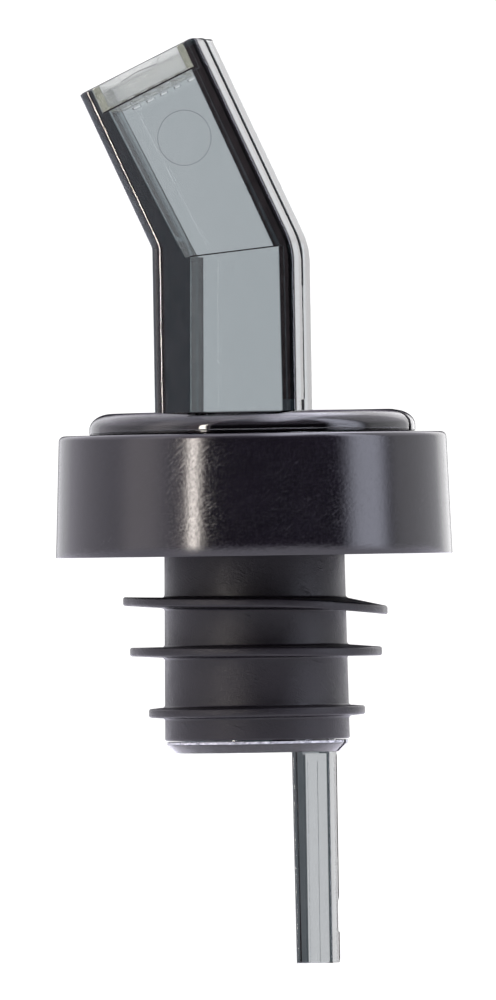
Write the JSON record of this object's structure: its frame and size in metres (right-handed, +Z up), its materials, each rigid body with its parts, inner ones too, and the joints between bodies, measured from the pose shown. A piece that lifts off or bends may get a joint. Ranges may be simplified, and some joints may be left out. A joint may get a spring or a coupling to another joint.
{
  "type": "liquor pour spout",
  "caption": "Free-flow bottle pourer: bent flat-sided smoke plastic spout with a breather tail, a loose black collar and a ribbed black stopper that grips a bottle neck.",
  "frame": {"origin": "on the stopper's axis, level with the tip of the breather tail: the bottom centre of the bounding box", "axes": "+Z up along the stopper's axis, out of the bottle; the spout leans towards -X; the spout's broad front face looks along -Y"},
  "size_m": [0.0354, 0.0354, 0.0827],
  "materials": {
    "smoke_plastic": "clear moulded smoke plastic, polished broad faces",
    "screen_plastic": "natural translucent moulded plastic",
    "tail_plastic": "clear moulded smoke plastic",
    "stopper_plastic": "soft matt black polyethylene",
    "collar_rubber": "satin black, scuffed"
  },
  "bodies": {
    "stopper": {"stopper_sleeve": "stopper_plastic"},
    "spout": {"spout_front_shell": "smoke_plastic", "spout_rear_shell": "smoke_plastic", "mouth_screen": "screen_plastic", "breather_tail": "tail_plastic"},
    "collar": {"collar": "collar_rubber"}
  },
  "joints": [
    {"name": "spout_turn", "type": "hinge", "parent": "stopper", "child": "spout", "pos_m": [0, 0, 0.0454], "axis": [0, 0, 1], "continuous": true},
    {"name": "collar_turn", "type": "hinge", "parent": "stopper", "child": "collar", "pos_m": [0, 0, 0.0454], "axis": [0, 0, 1], "continuous": true}
  ]
}
